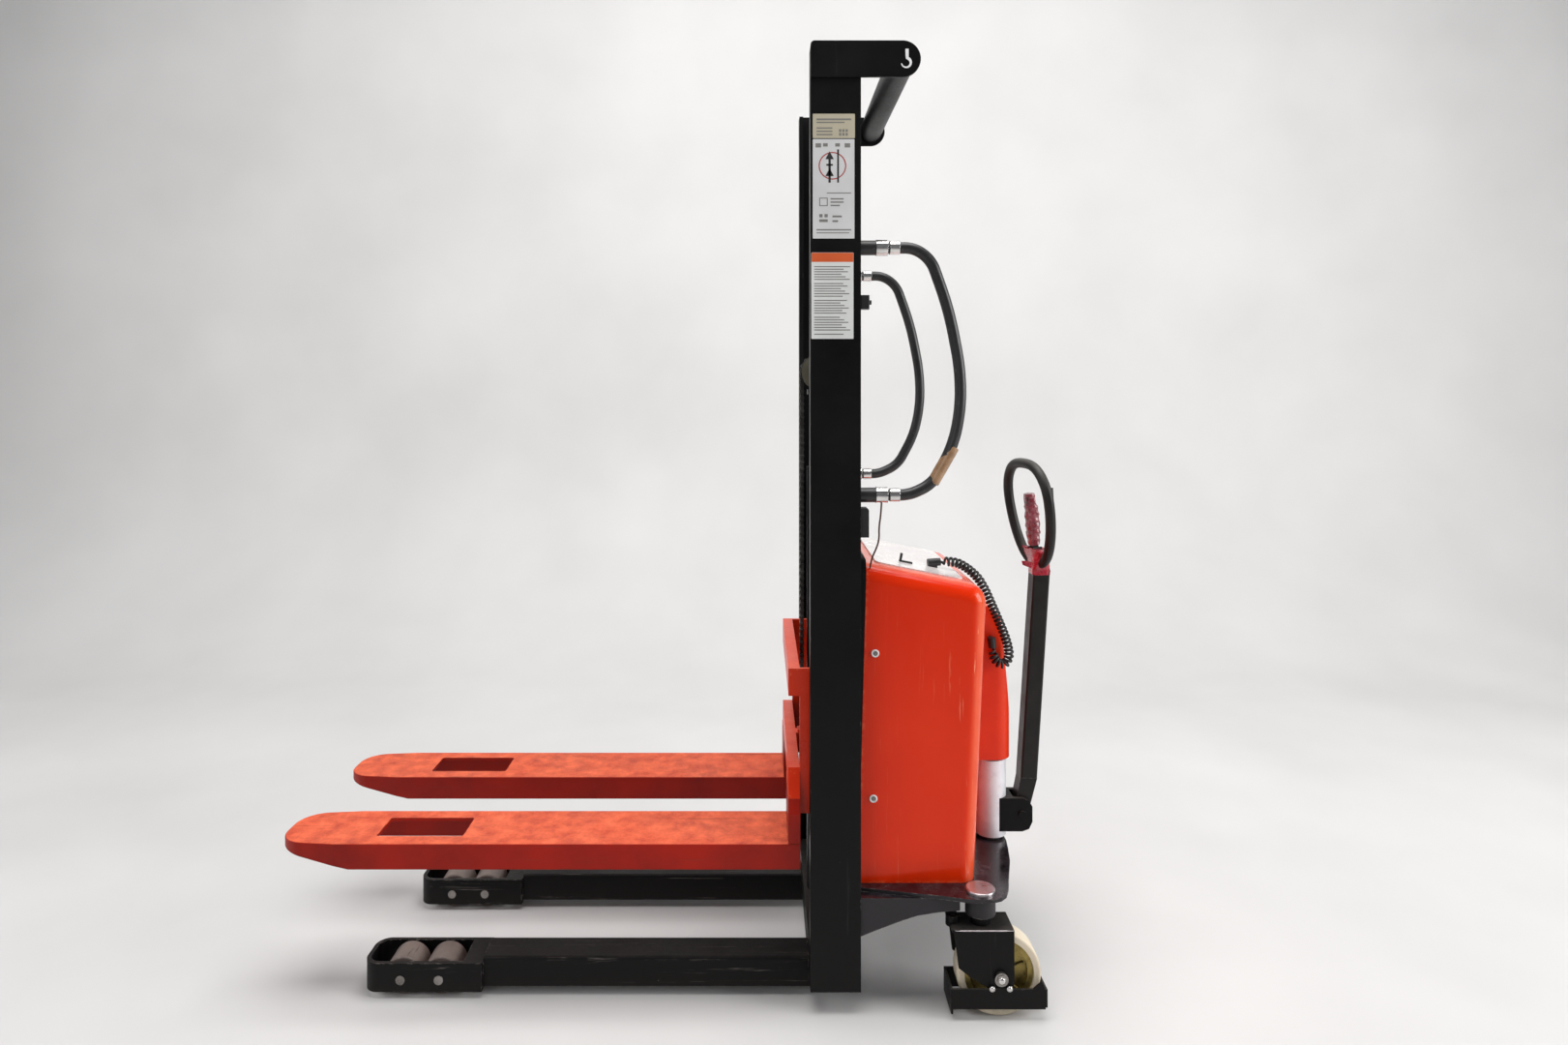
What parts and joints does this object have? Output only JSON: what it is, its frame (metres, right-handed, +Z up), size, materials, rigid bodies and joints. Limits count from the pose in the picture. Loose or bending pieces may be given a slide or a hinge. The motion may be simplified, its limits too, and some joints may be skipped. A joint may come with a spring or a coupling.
{
  "type": "walkie stacker",
  "caption": "Pedestrian pallet stacker with a single mast, box forks over roller legs, orange covers, steered rear wheels and a tiller with a loop handle.",
  "frame": {"origin": "on the floor, under the centre of the machine's outline", "axes": "+X towards the operator (tiller), forks point to -X, +Y to the operator's right, +Z up"},
  "size_m": [1.7528, 0.636, 2.08],
  "materials": {
    "orange_paint": "satin",
    "orange_worn": "satin, worn",
    "orange_gloss": "gloss",
    "black_paint": "satin",
    "leg_paint": "worn satin",
    "chrome": "polished",
    "column_silver": "satin",
    "zinc_cap": "satin",
    "bare_steel": "oiled",
    "chain_steel": "greased",
    "cast_sheave": "matt",
    "tread_cream": "matt",
    "hub_yellow_zinc": "passivated",
    "roller_nylon": "worn",
    "black_plastic": "matt",
    "battery_case": "matt",
    "pale_panel": "gloss",
    "red_button": "gloss",
    "cable_black": "matt",
    "wire_brown": "matt",
    "grip_black": "satin"
  },
  "bodies": {
    "chassis": {"mast_channel_left": "black_paint", "mast_channel_right": "black_paint", "mast_head_frame": "black_paint", "mast_crossmembers": "black_paint", "lift_cylinder_barrel": "black_paint", "leg_left": "leg_paint", "leg_right": "leg_paint", "load_roller_axles": "bare_steel", "base_plate": "black_paint", "caster_pivot_caps": "zinc_cap", "main_cover": "orange_gloss", "column_cover": "orange_gloss", "cover_back_plate": "black_paint", "cover_screws": "chrome", "control_panel": "pale_panel", "switch_plate": "black_plastic", "batteries": "battery_case", "hydraulic_tank": "black_plastic", "pump_motor": "black_paint", "motor_controller": "black_plastic", "inner_frame": "black_paint", "grab_handle_left": "black_paint", "grab_handle_right": "black_paint", "handle_ferrules": "chrome", "limit_switch": "black_plastic", "junction_box": "black_plastic", "coiled_lead": "cable_black", "lead_plugs": "black_plastic", "ferrule_wire": "wire_brown", "chain_rear_run": "chain_steel"},
    "piston": {"piston_rod": "chrome", "piston_crosshead": "bare_steel", "chain_over_sheave": "chain_steel", "chain_front_run": "chain_steel"},
    "sheave": {"chain_sheave": "cast_sheave"},
    "carriage": {"carriage_frame": "orange_paint", "fork_left": "orange_worn", "fork_right": "orange_worn"},
    "guide_lower_left": {"guide_roller_lower_left": "bare_steel"},
    "guide_lower_right": {"guide_roller_lower_right": "bare_steel"},
    "guide_upper_left": {"guide_roller_upper_left": "bare_steel"},
    "guide_upper_right": {"guide_roller_upper_right": "bare_steel"},
    "roller_front_left": {"load_roller_front_left": "roller_nylon"},
    "roller_rear_left": {"load_roller_rear_left": "roller_nylon"},
    "roller_front_right": {"load_roller_front_right": "roller_nylon"},
    "roller_rear_right": {"load_roller_rear_right": "roller_nylon"},
    "steering": {"steering_column": "column_silver", "tiller_clevis": "black_paint"},
    "link": {"steering_link": "black_paint"},
    "yoke_left": {"caster_yoke_left": "black_paint"},
    "yoke_right": {"caster_yoke_right": "black_paint"},
    "wheel_left": {"caster_hub_left": "hub_yellow_zinc", "caster_tread_left": "tread_cream"},
    "wheel_right": {"caster_hub_right": "hub_yellow_zinc", "caster_tread_right": "tread_cream"},
    "tiller": {"tiller_bar": "black_paint", "loop_handle": "grip_black"},
    "lever": {"hand_lever": "black_plastic"},
    "stop_button": {"stop_button": "red_button"},
    "key": {"ignition_key": "chrome"}
  },
  "joints": [
    {"name": "piston_lift", "type": "slide", "parent": "chassis", "child": "piston", "axis": [0, 0, 1], "range_m": [-0.127, 0.62], "deforming": ["chain_rear_run"]},
    {"name": "carriage_lift", "type": "slide", "parent": "piston", "child": "carriage", "axis": [0, 0, 1], "range_m": [-0.127, 0.62], "deforming": ["chain_front_run"]},
    {"name": "sheave_spin", "type": "hinge", "parent": "piston", "child": "sheave", "pos_m": [0.31855, 0, 1.379], "axis": [0, 1, 0], "range_deg": [-190, 900]},
    {"name": "guide_lower_left_spin", "type": "hinge", "parent": "carriage", "child": "guide_lower_left", "pos_m": [0.33755, -0.268, 0.462], "axis": [0, 1, 0], "continuous": true},
    {"name": "guide_lower_right_spin", "type": "hinge", "parent": "carriage", "child": "guide_lower_right", "pos_m": [0.33755, 0.268, 0.462], "axis": [0, 1, 0], "continuous": true},
    {"name": "guide_upper_left_spin", "type": "hinge", "parent": "carriage", "child": "guide_upper_left", "pos_m": [0.33755, -0.268, 0.672], "axis": [0, 1, 0], "continuous": true},
    {"name": "guide_upper_right_spin", "type": "hinge", "parent": "carriage", "child": "guide_upper_right", "pos_m": [0.33755, 0.268, 0.672], "axis": [0, 1, 0], "continuous": true},
    {"name": "load_front_left_spin", "type": "hinge", "parent": "chassis", "child": "roller_front_left", "pos_m": [-0.61345, -0.185, 0.041], "axis": [0, 1, 0], "continuous": true},
    {"name": "load_front_right_spin", "type": "hinge", "parent": "chassis", "child": "roller_front_right", "pos_m": [-0.61345, 0.185, 0.041], "axis": [0, 1, 0], "continuous": true},
    {"name": "load_rear_left_spin", "type": "hinge", "parent": "chassis", "child": "roller_rear_left", "pos_m": [-0.52945, -0.185, 0.041], "axis": [0, 1, 0], "continuous": true},
    {"name": "load_rear_right_spin", "type": "hinge", "parent": "chassis", "child": "roller_rear_right", "pos_m": [-0.52945, 0.185, 0.041], "axis": [0, 1, 0], "continuous": true},
    {"name": "steer", "type": "hinge", "parent": "chassis", "child": "steering", "pos_m": [0.73755, 0, 0.3], "axis": [0, 0, 1], "range_deg": [-50, 50]},
    {"name": "link_swing", "type": "hinge", "parent": "steering", "child": "link", "pos_m": [0.67756, 0, 0.199], "axis": [0, 0, 1], "range_deg": [-50, 50]},
    {"name": "caster_left_swivel", "type": "hinge", "parent": "chassis", "child": "yoke_left", "pos_m": [0.65155, -0.272, 0.22], "axis": [0, 0, 1], "range_deg": [-50, 50]},
    {"name": "caster_left_spin", "type": "hinge", "parent": "yoke_left", "child": "wheel_left", "pos_m": [0.68656, -0.272, 0.09], "axis": [0, 1, 0], "continuous": true},
    {"name": "caster_right_swivel", "type": "hinge", "parent": "chassis", "child": "yoke_right", "pos_m": [0.65155, 0.272, 0.22], "axis": [0, 0, 1], "range_deg": [-50, 50]},
    {"name": "caster_right_spin", "type": "hinge", "parent": "yoke_right", "child": "wheel_right", "pos_m": [0.68656, 0.272, 0.09], "axis": [0, 1, 0], "continuous": true},
    {"name": "tiller_fold", "type": "hinge", "parent": "steering", "child": "tiller", "pos_m": [0.80556, 0, 0.318], "axis": [0, 1, 0], "range_deg": [0, 78], "stiffness_Nm_per_rad": 14, "springref_deg": -51.57},
    {"name": "lever_squeeze", "type": "hinge", "parent": "tiller", "child": "lever", "pos_m": [0.84523, -0.00146, 0.94554], "axis": [-0.225, 0.9744, 0], "range_deg": [-12, 12], "stiffness_Nm_per_rad": 3},
    {"name": "stop_press", "type": "slide", "parent": "chassis", "child": "stop_button", "axis": [0.999, 0, -0.0439], "range_m": [-0.005, 0], "stiffness_N_per_m": 1500},
    {"name": "key_turn", "type": "hinge", "parent": "chassis", "child": "key", "pos_m": [0.67099, 0.12, 0.69806], "axis": [0.999, 0, -0.0439], "range_deg": [0, 90]}
  ],
  "couplings": [
    {"joint": "carriage_lift", "follows": "piston_lift", "ratio": 1},
    {"joint": "sheave_spin", "follows": "piston_lift", "rad_per_m": 25},
    {"joint": "link_swing", "follows": "steer", "ratio": -1},
    {"joint": "caster_left_swivel", "follows": "steer", "ratio": 1},
    {"joint": "caster_right_swivel", "follows": "steer", "ratio": 1}
  ]
}
